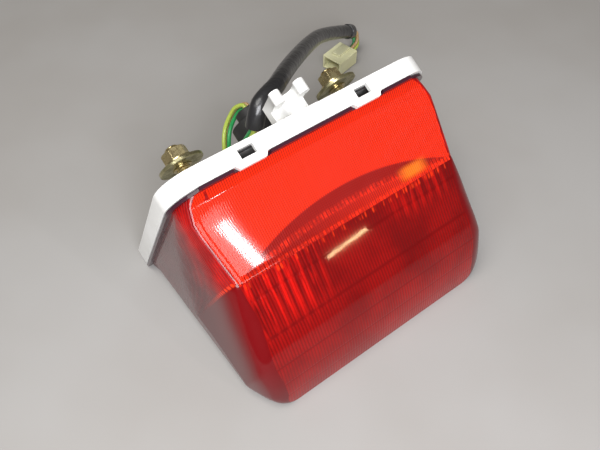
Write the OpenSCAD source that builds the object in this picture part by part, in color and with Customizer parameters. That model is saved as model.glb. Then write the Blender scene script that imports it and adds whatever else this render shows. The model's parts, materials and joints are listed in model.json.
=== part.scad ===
// Motorcycle tail light: white housing, snap-on red lens, bayonet bulb, two stud bolts and a short harness.
// The lamp lies on the flat underside of its lens. The rim plane leans forward by rim_lean.

/* [Housing] */
// Lean of the rim plane forward from upright, degrees
rim_lean = 26; // [18:1:32]
// Height of the rim, measured along the rim plane
rim_height = 93.5; // [84:0.5:112]
// Half width of the rim at its bottom edge
rim_half_bottom = 64.7; // [60:0.1:78]
// Half width of the rim where the top corners start
rim_half_top = 62; // [58:0.1:75]
// Radius of the two top corners of the rim
rim_corner_r = 14; // [9:0.5:18]
// Radius of the two bottom corners of the rim
rim_foot_r = 5; // [3:0.5:8]
// Depth of the skirt that overlaps the lens
skirt_depth = 5.6; // [5.4:0.1:9]
// Wall thickness of the skirt
skirt_wall = 2; // [1.6:0.1:2.6]
// Thickness of the back wall
back_wall = 1.8; // [1.6:0.1:3]

/* [Snap windows] */
// Distance of each snap window from the centre plane
window_x = 27; // [22:0.5:32]
// Width of a snap window
window_w = 6.6; // [5:0.1:8]
// Depth of a snap window, front to back
window_d = 3.8; // [3.4:0.1:4]
// Distance of a window's middle behind the front edge of the skirt
window_back = 3.2; // [3:0.1:3.4]
// Width of the tab in front of a top window
tab_w = 14; // [11:0.5:16]
// How far a tab steps forward of the skirt
tab_step = 1.8; // [1:0.1:2.2]

/* [Lens] */
// Distance from the rim plane to the front of the lens, measured level
lens_reach = 95; // [85:1:110]
// Wall thickness of the lens
lens_wall = 2.5; // [2:0.1:3]
// Clearance between the lens and the skirt around it
lens_gap = 0.3; // [0.2:0.05:0.5]
// Depth of the steep neck next to the rim
neck_depth = 4.5; // [3:0.5:7]
// Drop of the neck from the rim's top edge
neck_drop = 5; // [4:0.5:7]
// Depth of the ribbed rear part of the lens
rear_depth = 35; // [28:1:40]
// Depth of the edge between the top face and the front face
crease_depth = 36.5; // [32:0.5:44]
// Drop of that edge from the rim's top edge
crease_drop = 13.7; // [11:0.1:18]
// Half width of the top face at the rim
crease_half_rear = 58.8; // [52:0.1:60]
// Half width of the top face at the front of the ribbed part
crease_half_front = 53.2; // [48:0.1:57]
// Half width of the side wall at side_height, at the front of the ribbed part
side_half = 60.1; // [57:0.1:62]
// Height of that place above the rim's bottom edge
side_height = 35.4; // [30:0.2:42]
// Half width of the lens at its underside
foot_half = 61.5; // [58:0.1:62]
// Half width of the front face at its foot
front_foot_half = 54.5; // [48:0.5:58]
// Length of the slanted front corner, measured level
corner_run = 18; // [12:0.5:24]
// Radius of the curved lower part of the front face
front_r = 57; // [45:1:70]
// Radius of the long lower edges
lower_edge_r = 9; // [5:0.5:12]

/* [Stud bolts] */
// Distance between the two stud bolts
stud_spacing = 80; // [72:0.5:88]
// Height of the stud bolts above the rim's bottom edge
stud_height = 56; // [50:0.5:62]
// Thread diameter
stud_d = 6; // [5:0.5:8]
// Distance from the back wall to the end of a stud bolt
stud_reach = 20.8; // [18:0.2:28]
// Across flats of the nuts and of the bolt heads
hex_af = 10; // [10:0.5:13]
// Height of a bolt head
head_h = 3.6; // [3:0.1:5]
// Height of a nut, its flange included
nut_h = 6; // [5:0.1:8]
// Diameter of the nut's flange
nut_flange_d = 13; // [12:0.1:16]
// Outer diameter of the large washer
washer_d = 20; // [16:0.5:24]
// Thickness of the large washer
washer_t = 1.6; // [1:0.1:2.5]
// How far the stud bolt shows past the nut
stud_tip = 1.6; // [1:0.1:4]

/* [Bulb and socket] */
// Height of the bulb's axis above the rim's bottom edge
bulb_height = 50; // [46:0.5:56]
// Diameter of the bulb's cap
cap_d = 15; // [14:0.5:16]
// Length of the bulb's cap
cap_len = 17; // [15:0.5:20]
// Diameter of the bulb's glass
glass_d = 25; // [20:0.5:26]
// Length of the whole bulb
bulb_len = 52; // [46:0.5:54]
// How far the bulb is pushed in to free it
push_travel = 3; // [2:0.5:3.5]
// How far the bulb is turned to free it, degrees
twist_travel = 20; // [12:1:24]
// Running clearance of the bulb's cap in the socket, radial
socket_gap = 0.2; // [0.15:0.05:0.3]
// Wall thickness of the socket shell
socket_wall = 1; // [0.8:0.1:1.4]
// Length of the socket shell
socket_len = 26; // [24:0.5:30]

/* [Harness] */
// Outer diameter of the black sleeve
sleeve_d = 7.6; // [6:0.2:9]
// Outer diameter of one wire
wire_d = 2; // [1.6:0.1:2.2]
// Length of the connector housing
connector_len = 16; // [14:0.5:24]
// Width of the connector housing
connector_w = 13; // [12:0.5:18]
// Height of the connector housing
connector_h = 9; // [8:0.5:14]
// Wall thickness of the connector housing
connector_wall = 1.2; // [1:0.1:1.6]

/* [Hidden] */

$fn = 64;
eps = 0.01;
far = 300;

// Small step that lets a rounded corner cross the flat face beside it
snug = 0.01;

// Places along the rim's normal: 0 is the skirt's front edge and plus is towards the back
wall_front = skirt_depth;
wall_back = skirt_depth + back_wall;

// Lens band that slides into the skirt, its stop bead and its lugs
band_inset = skirt_wall + lens_gap;
band_depth = skirt_depth - 0.8;
bead_inset = 0.4;
bead_near = 0.25;
bead_far = 1.3;
lug_clear = 0.35;
lug_rise = 1.5;

// Stud hardware
boss_d = 15;
boss_h = 3;
boss_back = wall_back + boss_h;
stud_end = wall_back + stud_reach;
nut_back = stud_end - stud_tip;
nut_front = nut_back - nut_h;
washer_gap = 0.1;
washer_back = nut_front - washer_gap;
washer_front = washer_back - washer_t;
collar_d = stud_d + 1.7;
collar_lip_d = stud_d + 2.6;
collar_lip_t = 0.5;
collar_front = washer_front - washer_gap - collar_lip_t;
thread_gap = 0.05;
hole_gap = 0.1;

// Socket and bulb
socket_id = cap_d + 2 * socket_gap;
socket_od = socket_id + 2 * socket_wall;
socket_front = -3;
socket_back = socket_front + socket_len;
carrier_t = 3;
cap_back = 10.5;
cap_front = cap_back - cap_len;
dome_h = 1.2;
carrier_front = cap_back + 2 * dome_h + 0.1;
carrier_back = carrier_front + carrier_t;
pin_d = 2;
pin_reach = 1.1;
pin_back = 5.3;
pin_offset = 3;
spring_wire = 0.8;
flange_d = 26;
flange_t = 1.2;
boot_len = 9;
wire_exit = socket_back + boot_len - 2;

// Level distance from the frame's origin to the rim's bottom edge, so the lamp's box is centred on the origin.
// Either the rim's foot or the boot's mouth reaches furthest back.
neck_d = 12;
rim_reach = wall_back * cos(rim_lean);
boot_reach = wire_exit * cos(rim_lean) - (bulb_height - neck_d / 2) * sin(rim_lean);
origin_y = (lens_reach - max(rim_reach, boot_reach)) / 2;

// Routes of the wires and of the sleeve, measured from the rim's bottom edge
function from_rim(route) = [for (p = route) p + [0, origin_y, 0]];
sleeve_route = from_rim([
    [-10.5, -17.2, 71], [-5.5, -14.7, 79], [5.6, -9.7, 79], [19, 2.3, 72],
    [42.5, 22.8, 58], [70, 44.8, 41], [93, 57.8, 26], [106.5, 63.3, 17.5]
]);
inner_route = from_rim([[-2.5, 10, 56], [-8, 10, 47], [-14, 1, 43], [-15.5, -9, 50]]);
outer_route = from_rim([[114.5, 65.1, 11.3], [113, 61.8, 7.5]]);
tape_len = 5;
connector_end = from_rim([[106, 60.3, 4.8]])[0];
connector_turn = 13;

// ---------------------------------------------------------------- geometry helpers

function unit(v) = v / norm(v);
function turn_right(d) = [d.y, -d.x];

// Meeting point of the lines through a along u and through b along v
function meet(a, u, b, v) =
    let (k = ((b.x - a.x) * v.y - (b.y - a.y) * v.x) / (u.x * v.y - u.y * v.x))
    a + k * u;

// Point in the vertical centre plane from a depth behind the rim plane and a height along it
function rim_point(back, up) = [
    back * cos(rim_lean) - up * sin(rim_lean),
    back * sin(rim_lean) + up * cos(rim_lean)
];

// The same, in three dimensions
function rim_place(x, back, up) = let (p = rim_point(back, up)) [x, p.x, p.y];

// Children drawn with Y along the rim's normal and Z up the rim plane
module on_rim() {
    translate([0, origin_y, 0]) rotate([rim_lean, 0, 0]) children();
}

// Children drawn with the rim's bottom edge at the origin and Z upright
module on_table() {
    translate([0, origin_y, 0]) children();
}

// Extrudes a front view, X across and Y up the rim, from depth near to depth back
module through_rim(near, back) {
    on_rim() translate([0, back, 0]) rotate([90, 0, 0]) linear_extrude(back - near) children();
}

// Cylinder along the rim's normal from depth near to depth back
module rod(x, up, near, back, d, fn = 64) {
    on_rim() translate([x, near, up]) rotate([-90, 0, 0]) cylinder(h = back - near, d = d, $fn = fn);
}

// Keeps the side of the plane through a, b and c that holds the origin's axis, moved in by inset
module cut_side(a, b, c, inset) {
    n = unit(cross(b - a, c - a));
    out = n.x < 0 ? n : -n;
    axis = cross([1, 0, 0], out);
    translate(a - out * inset)
        rotate(a = acos(out.x), v = axis)
        translate([-far, -far / 2, -far / 2])
        cube(far);
}

// ---------------------------------------------------------------- rim outline

side_angle = atan((rim_half_bottom - rim_half_top) / (rim_height - rim_corner_r));
function side_x(up) = rim_half_bottom - up * tan(side_angle);

// Front view of the rim, drawn inset from its outer face
module rim_outline(inset) {
    r = max(rim_corner_r - inset, 0.5);
    f = max(rim_foot_r - inset, 0.5);
    up = rim_height - inset - r;
    corner_x = side_x(up) - (inset + r) / cos(side_angle);
    foot_up = inset + f;
    foot_x = side_x(foot_up) - (inset + f) / cos(side_angle);
    lean = [cos(side_angle), sin(side_angle)];
    right = [
        [foot_x, inset + snug], [foot_x, foot_up] + (f - snug) * lean,
        [corner_x, up] + (r - snug) * lean, [corner_x, rim_height - inset - snug]
    ];
    left = [for (i = [len(right) - 1 : -1 : 0]) [-right[i].x, right[i].y]];
    polygon(concat(right, left));
    for (side = [-1, 1]) {
        translate([side * corner_x, up]) circle(r);
        translate([side * foot_x, foot_up]) circle(f);
    }
}

// ---------------------------------------------------------------- lens profile

// Centre-plane outline of the lens body, inset from its outer face; Y runs back and Z runs up
function lens_profile(inset, rear) =
    let (
        centre = [front_r - lens_reach, 0],
        crease = rim_point(-crease_depth, rim_height - crease_drop),
        fold = rim_point(-neck_depth, rim_height - neck_drop),
        seam = rim_point(0, rim_height - band_inset),
        to_crease = crease - centre,
        reach = norm(to_crease),
        tangent_angle = atan2(to_crease.y, -to_crease.x) - acos(front_r / reach),
        touch_dir = [-cos(tangent_angle), sin(tangent_angle)],
        touch = centre + (front_r - inset) * touch_dir,
        front_dir = turn_right(touch_dir),
        top_dir = unit(crease - fold),
        neck_dir = unit(fold - seam),
        top_at = fold - inset * turn_right(top_dir),
        neck_at = seam - inset * turn_right(neck_dir),
        rear_at = rim_point(rear, 0),
        rear_dir = [-sin(rim_lean), cos(rim_lean)],
        low = [0, inset],
        level = [1, 0]
    )
    [
        meet(low, level, rear_at, rear_dir),
        [centre.x - sqrt(pow(front_r - inset, 2) - inset * inset), inset],
        touch,
        meet(touch, front_dir, top_at, top_dir),
        meet(top_at, top_dir, neck_at, neck_dir),
        meet(neck_at, neck_dir, rear_at, rear_dir)
    ];

// Side view of the lens body with its curved lower front
module lens_side(inset, rear) {
    points = lens_profile(inset, rear);
    polygon(points);
    intersection() {
        translate([front_r - lens_reach, 0]) circle(front_r - inset, $fn = 160);
        translate([-lens_reach, inset]) square([front_r, points[2].y - inset]);
    }
}

module lens_side_wall(inset, rear) {
    on_table() translate([-far / 2, 0, 0]) rotate([90, 0, 90]) linear_extrude(far) lens_side(inset, rear);
}

// End view that rounds the long lower edges, drawn along the level direction
module lower_edges(inset) {
    half = foot_half - inset;
    r = lower_edge_r - inset;
    on_table() rotate([90, 0, 0]) translate([0, 0, -far / 2]) linear_extrude(far) {
        translate([-half + snug, inset + r]) square([2 * (half - snug), far]);
        translate([-half + r, inset - 1]) square([2 * (half - r), r + 2]);
        for (side = [-1, 1]) translate([side * (half - r), inset + r - snug]) circle(r);
    }
}

// Places that set the side walls, in the frame of on_table()
crease_rear_at = rim_place(-crease_half_rear, 0, rim_height - band_inset);
crease_front_at = rim_place(-crease_half_front, -rear_depth, rim_height - crease_drop);
side_at = rim_place(-side_half, -rear_depth, side_height);
corner_at = [-foot_half, corner_run - lens_reach, 0];
front_foot_at = [-front_foot_half, -lens_reach, 0];

module both_sides() {
    intersection() {
        children();
        mirror([1, 0, 0]) children();
    }
}

// Ribbed rear part of the lens body
module lens_rear(inset, rear) {
    intersection() {
        lens_side_wall(inset, rear);
        lower_edges(inset);
        through_rim(-rear_depth, rear + eps) rim_outline(band_inset + inset);
        both_sides() on_table() cut_side(crease_rear_at, crease_front_at, side_at, inset);
    }
}

// Smooth front part of the lens body
module lens_front(inset) {
    intersection() {
        lens_side_wall(inset, 0);
        lower_edges(inset);
        through_rim(-far / 2, -rear_depth + 2 * inset) rim_outline(band_inset + inset);
        both_sides() on_table() cut_side(crease_front_at, side_at, corner_at, inset);
        both_sides() on_table() cut_side(corner_at, front_foot_at, front_foot_at + [0, 0, far / 4], inset);
    }
}

module lens_body(inset, rear) {
    lens_rear(inset, rear);
    lens_front(inset);
}

// ---------------------------------------------------------------- housing

// One block at each snap window, size given as [width, depth], from up to top along the rim plane
module at_windows(size, low, high, top_side = true, bottom_side = true) {
    for (side = [-1, 1]) {
        if (top_side)
            on_rim() translate([side * window_x - size.x / 2, window_back - size.y / 2, rim_height - high])
                cube([size.x, size.y, high - low]);
        if (bottom_side)
            on_rim() translate([side * window_x - size.x / 2, window_back - size.y / 2, low])
                cube([size.x, size.y, high - low]);
    }
}

// Tab that steps forward over the lens in front of each top window
module tabs() {
    slope = 1.3;
    for (side = [-1, 1])
        on_rim() translate([side * window_x, 0, rim_height - skirt_wall]) linear_extrude(skirt_wall)
            polygon([
                [-tab_w / 2, 1], [-tab_w / 2, 0], [-tab_w / 2 + slope, -tab_step],
                [tab_w / 2 - slope, -tab_step], [tab_w / 2, 0], [tab_w / 2, 1]
            ]);
}

fork_half = 7.6;
fork_base = rim_height - 12.5;
fork_valley_r = 3.6;
fork_valley = rim_height - 4.6;
fork_top = rim_height + 0.6;
fork_near = 6.2;
fork_deep = 10.6;

// Fork for the harness on the back of the housing, at the top in the middle
module fork() {
    prong = fork_half - fork_valley_r;
    difference() {
        through_rim(wall_back - eps, wall_back + fork_deep) {
            translate([-fork_half, fork_base]) square([2 * fork_half, fork_valley - fork_base]);
            for (side = [-1, 1])
                translate([side * (fork_half - prong / 2) - prong / 2, fork_valley - 1])
                    square([prong, fork_top - fork_valley + 1]);
        }
        through_rim(wall_back - 1, wall_back + far / 4)
            translate([0, fork_valley]) circle(fork_valley_r);
        through_rim(wall_back, wall_back + fork_near)
            translate([-fork_half - 1, fork_base + 5]) square([2 * fork_half + 2, far / 4]);
    }
    for (side = [-1, 1])
        rod(side * (fork_half - prong / 2), fork_top - 1, wall_back + fork_near - 0.6,
            wall_back + fork_deep + 0.4, prong + 0.4);
}

module housing() {
    color("white") {
        difference() {
            union() {
                through_rim(0, wall_back) rim_outline(0);
                tabs();
                for (side = [-1, 1])
                    rod(side * stud_spacing / 2, stud_height, wall_back - eps, boss_back, boss_d);
                rod(0, bulb_height, wall_back - eps, wall_back + 1.5, flange_d + 6);
                fork();
            }
            difference() {
                through_rim(-1, wall_front) rim_outline(skirt_wall);
                for (side = [-1, 1])
                    rod(side * stud_spacing / 2, stud_height, wall_front - head_h, wall_front + 1, hex_af + 6);
            }
            on_table() translate([-far / 2, -far / 2, -far]) cube(far);
            at_windows([window_w, window_d], -1, skirt_wall + 1);
            for (side = [-1, 1]) {
                rod(side * stud_spacing / 2, stud_height, -1, wall_front,
                    (hex_af + 2 * hole_gap) / cos(30), 6);
                rod(side * stud_spacing / 2, stud_height, 0, boss_back + 1, stud_d + 2 * hole_gap);
            }
            rod(0, bulb_height, 0, wall_back + 10, socket_od + 2 * hole_gap);
        }
    }
}

// ---------------------------------------------------------------- lens and gasket

module lens() {
    color("red") {
        difference() {
            union() {
                lens_body(0, 0);
                through_rim(-eps, band_depth) rim_outline(band_inset);
                difference() {
                    through_rim(-bead_far, -bead_near) rim_outline(bead_inset);
                    at_tabs_clearance();
                }
                at_windows([window_w - 2 * lug_clear, window_d - 2 * lug_clear],
                    band_inset - lug_rise, band_inset + 0.5);
            }
            lens_body(lens_wall, band_depth + 10);
            through_rim(-eps, band_depth + 1) rim_outline(band_inset + lens_wall);
            on_table() translate([-far / 2, -far / 2, -far]) cube(far);
        }
    }
}

// Room in the lens bead for the tabs
module at_tabs_clearance() {
    for (side = [-1, 1])
        on_rim() translate([side * window_x - tab_w / 2 - 0.6, -4, rim_height - skirt_wall - 0.2])
            cube([tab_w + 1.2, 5, 4]);
}

module lens_gasket() {
    color("dimgray")
        difference() {
            through_rim(band_depth, wall_front) rim_outline(band_inset);
            through_rim(band_depth - 1, wall_front + 1) rim_outline(band_inset + lens_wall);
        }
}

// ---------------------------------------------------------------- stud bolts, washers and nuts

module stud_bolts() {
    color("darkkhaki")
        for (side = [-1, 1]) {
            rod(side * stud_spacing / 2, stud_height, wall_front - head_h, wall_front, hex_af / cos(30), 6);
            rod(side * stud_spacing / 2, stud_height, wall_front - eps, stud_end, stud_d);
        }
}

module washer(side) {
    color("olive")
        difference() {
            rod(side * stud_spacing / 2, stud_height, washer_front, washer_back, washer_d);
            rod(side * stud_spacing / 2, stud_height, washer_front - 1, washer_back + 1, collar_d + 0.2);
        }
}

module washer_left() { washer(-1); }
module washer_right() { washer(1); }

flange_h = 1.4;

// Flange nut with a collar that keeps the large washer on it
module nut(side) {
    color("khaki")
        difference() {
            union() {
                rod(side * stud_spacing / 2, stud_height, collar_front, nut_front + eps, collar_d);
                rod(side * stud_spacing / 2, stud_height, collar_front, collar_front + collar_lip_t, collar_lip_d);
                rod(side * stud_spacing / 2, stud_height, nut_front, nut_front + flange_h, nut_flange_d);
                intersection() {
                    rod(side * stud_spacing / 2, stud_height, nut_front, nut_back, hex_af / cos(30), 6);
                    on_rim() translate([side * stud_spacing / 2, nut_front, stud_height]) rotate([-90, 0, 0])
                        cylinder(h = nut_h, r1 = hex_af / 2 + nut_h + 0.2, r2 = hex_af / 2 + 0.2);
                }
            }
            rod(side * stud_spacing / 2, stud_height, collar_front - 1, nut_back + 1, stud_d + 2 * thread_gap);
        }
}

module nut_left() { nut(-1); }
module nut_right() { nut(1); }

// ---------------------------------------------------------------- socket

// Window in the socket shell for a bulb pin, with a channel to the shell's mouth
module pin_slot(side, back) {
    wide = pin_d + 0.6;
    window = wide + 2 * (cap_d / 2 + pin_reach) * sin(twist_travel / 2);
    on_rim() translate([0, 0, bulb_height]) rotate([0, side > 0 ? 0 : 180, 0]) {
        rotate([0, -twist_travel / 2, 0]) translate([socket_id / 4, back - wide / 2, -window / 2])
            cube([socket_od, wide + push_travel, window]);
        rotate([0, -twist_travel, 0]) translate([socket_id / 4, socket_front - 1, -wide / 2])
            cube([socket_od, back - socket_front + 1, wide]);
    }
}

module socket_shell() {
    color("silver")
        difference() {
            union() {
                rod(0, bulb_height, socket_front, socket_back, socket_od);
                rod(0, bulb_height, wall_front - flange_t, wall_front, flange_d);
            }
            rod(0, bulb_height, socket_front - 1, socket_back - socket_wall, socket_id);
            rod(0, bulb_height, socket_back - 2 * socket_wall, socket_back + 1, socket_id - 5);
            pin_slot(1, pin_back);
            pin_slot(-1, pin_back - pin_offset);
        }
}

module socket_ring() {
    color("silver")
        difference() {
            rod(0, bulb_height, wall_back + 1.5, wall_back + 2.7, flange_d);
            rod(0, bulb_height, wall_back, wall_back + 4, socket_od + 2 * thread_gap);
        }
}

module socket_boot() {
    color("black")
        difference() {
            union() {
                rod(0, bulb_height, socket_back - 7, socket_back + 2, socket_od + 4);
                rod(0, bulb_height, socket_back + 2 - eps, socket_back + boot_len - 2, neck_d);
            }
            rod(0, bulb_height, socket_back - 8, socket_back, socket_od + 2 * thread_gap);
            rod(0, bulb_height, socket_back - 1, socket_back + boot_len - 4, 8);
        }
}

module contact_carrier() {
    color("saddlebrown")
        rod(0, bulb_height, carrier_front, carrier_back, cap_d);
}

contact_x = 3.2;
contact_d = 3.4;

module carrier_contacts() {
    color("gold")
        for (side = [-1, 1]) {
            on_rim() translate([side * contact_x, carrier_front, bulb_height]) rotate([90, 0, 0])
                cylinder(h = dome_h, d1 = contact_d, d2 = contact_d - 1.2);
        }
}

spring_turns = 2.5;
spring_steps = 14;

module carrier_spring() {
    room = socket_back - socket_wall - carrier_back;
    rise = room - spring_wire - 0.1;
    r = cap_d / 2 - 1.4;
    n = spring_turns * spring_steps;
    path = [for (i = [0 : n])
        let (a = 360 * i / spring_steps)
        [r * cos(a), rise * i / n, r * sin(a)]];
    color("lightgray")
        on_rim() translate([0, carrier_back + spring_wire / 2 + 0.05, bulb_height])
            sweep(path, spring_wire, 6, [0, 1, 0]);
}

// ---------------------------------------------------------------- bulb

module bulb_cap() {
    color("goldenrod")
        difference() {
            union() {
                rod(0, bulb_height, cap_front, cap_back, cap_d);
                on_rim() translate([0, pin_back, bulb_height]) rotate([0, 90, 0])
                    cylinder(h = cap_d / 2 + pin_reach, d = pin_d, $fn = 32);
                on_rim() translate([0, pin_back - pin_offset, bulb_height]) rotate([0, -90, 0])
                    cylinder(h = cap_d / 2 + pin_reach, d = pin_d, $fn = 32);
            }
            rod(0, bulb_height, cap_front - 1, cap_back + 1, cap_d - 1.2);
        }
}

module bulb_cap_insulator() {
    color("black")
        rod(0, bulb_height, cap_back - 2, cap_back, cap_d - 1.2);
}

module bulb_cap_contacts() {
    color("silver")
        for (side = [-1, 1])
            on_rim() translate([side * contact_x, cap_back, bulb_height]) rotate([-90, 0, 0])
                cylinder(h = dome_h, d1 = contact_d, d2 = contact_d - 1.2);
}

glass_neck_d = 13.4;
glass_wall = 0.8;
glass_taper = 15;
glass_seat = cap_back - 12;
bulb_tip = cap_back - bulb_len;
glass_centre = bulb_tip + glass_d / 2;

// Bulb shape inset from its outer face, with the neck's end at depth seat
module bulb_shape(inset, seat) {
    r = glass_d / 2 - inset;
    neck = glass_neck_d - 2 * inset;
    shoulder = glass_centre + r * sin(glass_taper);
    on_rim() translate([0, 0, bulb_height]) rotate([-90, 0, 0]) {
        translate([0, 0, glass_centre]) sphere(r);
        translate([0, 0, shoulder]) cylinder(h = cap_front - shoulder, r1 = r * cos(glass_taper), d2 = neck);
        translate([0, 0, cap_front - eps]) cylinder(h = seat - cap_front + eps, d = neck);
    }
}

module bulb_glass() {
    color("lightcyan", 0.5)
        difference() {
            bulb_shape(0, glass_seat);
            bulb_shape(glass_wall, glass_seat + 1);
        }
}

stem_front = glass_seat - 15;
stem_flare_t = 1.5;
coil_y = glass_centre + 1;

// Glass stem with the flare that closes the neck
module bulb_stem() {
    color("azure") {
        rod(0, bulb_height, stem_front, glass_seat, 5);
        rod(0, bulb_height, glass_seat - stem_flare_t, glass_seat, glass_neck_d - 2 * glass_wall - 0.2);
    }
}

// Four wires from the stem to the ends of the two filaments
module filament_supports() {
    color("gray")
        for (x = [-1, 1], up = [-1, 1])
            on_rim() translate([0, 0, bulb_height])
                sweep([
                    [x * 1.3, stem_front, up * 1.3], [x * 1.3, stem_front - 1, up * 1.3],
                    [x * 3.1, coil_y + 4, up * 2.2], [x * 3.1, coil_y - 0.5, up * 2.2]
                ], 0.6, 6, [0, 0, 1]);
}

module filament(up, d) {
    color("gray")
        on_rim() translate([-2.7, coil_y, bulb_height + up]) rotate([0, 90, 0]) cylinder(h = 5.4, d = d);
}

module filament_tail() { filament(2.2, 0.9); }
module filament_stop() { filament(-2.2, 1.3); }

// ---------------------------------------------------------------- swept wires

function ring_frame(path, i, ref) =
    let (
        n = len(path),
        t = unit(path[min(i + 1, n - 1)] - path[max(i - 1, 0)]),
        side = unit(cross(t, ref))
    )
    [side, cross(side, t)];

// Round solid of diameter d along the points of path, with a number of sides
module sweep(path, d, sides, ref) {
    n = len(path);
    points = [for (i = [0 : n - 1])
        let (f = ring_frame(path, i, ref))
        for (k = [0 : sides - 1])
            let (a = 360 * k / sides)
            path[i] + d / 2 * (cos(a) * f[0] + sin(a) * f[1])];
    walls = [for (i = [0 : n - 2], k = [0 : sides - 1])
        let (k2 = (k + 1) % sides)
        [i * sides + k, i * sides + k2, (i + 1) * sides + k2, (i + 1) * sides + k]];
    first = [for (k = [sides - 1 : -1 : 0]) k];
    last = [for (k = [0 : sides - 1]) (n - 1) * sides + k];
    polyhedron(points = points, faces = concat(walls, [first], [last]));
}

// Smooth curve through the points of route, with a number of steps in each stretch
function smooth(route, steps) =
    let (n = len(route))
    concat(
        [for (i = [0 : n - 2], s = [0 : steps - 1])
            let (
                t = s / steps,
                p0 = route[max(i - 1, 0)], p1 = route[i], p2 = route[i + 1], p3 = route[min(i + 2, n - 1)]
            )
            0.5 * (2 * p1 + (p2 - p0) * t + (2 * p0 - 5 * p1 + 4 * p2 - p3) * t * t
                + (3 * p1 - p0 - 3 * p2 + p3) * t * t * t)],
        [route[n - 1]]
    );

module harness_sleeve() {
    color("black") sweep(sleeve_path, sleeve_d, 12, [0, 0, 1]);
}

// Tape wound around the wires where they leave the sleeve
module sleeve_tape() {
    color("black")
        translate(sleeve_end) rotate(a = acos(sleeve_last.z), v = cross([0, 0, 1], sleeve_last))
            cylinder(h = tape_len, d = sleeve_d + 1);
}

strand_ref = [1, 0.3, -0.5];
strand_r = 1.35;

// One strand of three that run side by side along a smooth path
function strand(path, index, ref) =
    [for (i = [0 : len(path) - 1])
        let (f = ring_frame(path, i, ref), a = 120 * index)
        path[i] + strand_r * (cos(a) * f[0] + sin(a) * f[1])];

boot_end = rim_place(0, wire_exit, bulb_height) + [0, origin_y, 0];
boot_dir = [0, cos(rim_lean), sin(rim_lean)];

sleeve_path = smooth(sleeve_route, 2);
sleeve_first = unit(sleeve_path[1] - sleeve_path[0]);
sleeve_end = sleeve_route[len(sleeve_route) - 1];
sleeve_last = unit(sleeve_end - sleeve_path[len(sleeve_path) - 2]);
tape_end = sleeve_end + tape_len * sleeve_last;
connector_dir = [cos(connector_turn), sin(connector_turn), 0];

// Curve from a along da to b, where it arrives along db, through the points of route
function lead(a, da, route, b, db, steps) =
    concat([a], smooth(concat([a + 2 * da], route, [b - 2 * db]), steps), [b]);

inner_path = lead(boot_end, boot_dir, inner_route, sleeve_route[0], sleeve_first, 2);
outer_path = lead(tape_end, sleeve_last, outer_route, connector_end, -connector_dir, 3);

module inner_wire(index) { sweep(strand(inner_path, index, strand_ref), wire_d, 8, strand_ref); }
module outer_wire(index) { sweep(strand(outer_path, index, [0, 0.2, 1]), wire_d, 8, [0, 0.2, 1]); }

module wire_earth_inner() { color("green") inner_wire(0); }
module wire_tail_inner() { color("tan") inner_wire(1); }
module wire_stop_inner() { color("yellowgreen") inner_wire(2); }
module wire_earth_outer() { color("green") outer_wire(0); }
module wire_tail_outer() { color("tan") outer_wire(1); }
module wire_stop_outer() { color("yellowgreen") outer_wire(2); }

// ---------------------------------------------------------------- connector

connector_back = 5;
terminal_len = 6;

// Children drawn with X out of the connector's wire end and the connector level
module on_connector() {
    translate(connector_end) rotate([0, 0, connector_turn]) children();
}

module connector_housing() {
    color("khaki", 0.8)
        on_connector() difference() {
            union() {
                translate([-connector_len, -connector_w / 2, -connector_h / 2])
                    cube([connector_len, connector_w, connector_h]);
                translate([-connector_len + 4, -2.5, connector_h / 2 - eps]) cube([10, 5, 1.6]);
            }
            translate([-connector_len - 1, connector_wall - connector_w / 2, connector_wall - connector_h / 2])
                cube([connector_len - connector_back + 1, connector_w - 2 * connector_wall,
                    connector_h - 2 * connector_wall]);
        }
}

module connector_terminals() {
    color("gold")
        for (side = [-1, 0, 1])
            on_connector() translate([-connector_back - terminal_len, side * 3.6 - 0.9, -0.5])
                cube([terminal_len, 1.8, 1]);
}

housing();
lens();
lens_gasket();
stud_bolts();
washer_left();
washer_right();
nut_left();
nut_right();
socket_shell();
socket_ring();
socket_boot();
contact_carrier();
carrier_contacts();
carrier_spring();
bulb_cap();
bulb_cap_insulator();
bulb_cap_contacts();
bulb_glass();
bulb_stem();
filament_supports();
filament_tail();
filament_stop();
wire_earth_inner();
wire_tail_inner();
wire_stop_inner();
harness_sleeve();
sleeve_tape();
wire_earth_outer();
wire_tail_outer();
wire_stop_outer();
connector_housing();
connector_terminals();
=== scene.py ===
"""Motorcycle tail light: looks of the lamp, its stud hardware, its bulb and its harness.

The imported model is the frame. Pieces whose plain solid is right keep it and get a finish.
The lens, the stud bolts, the cords and the softened mouldings are made here.
"""

import json
import logging
import math
from dataclasses import dataclass
from enum import Enum
from typing import Iterable, Sequence, Union

import bmesh
import bpy
from mathutils import Matrix, Vector

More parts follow.
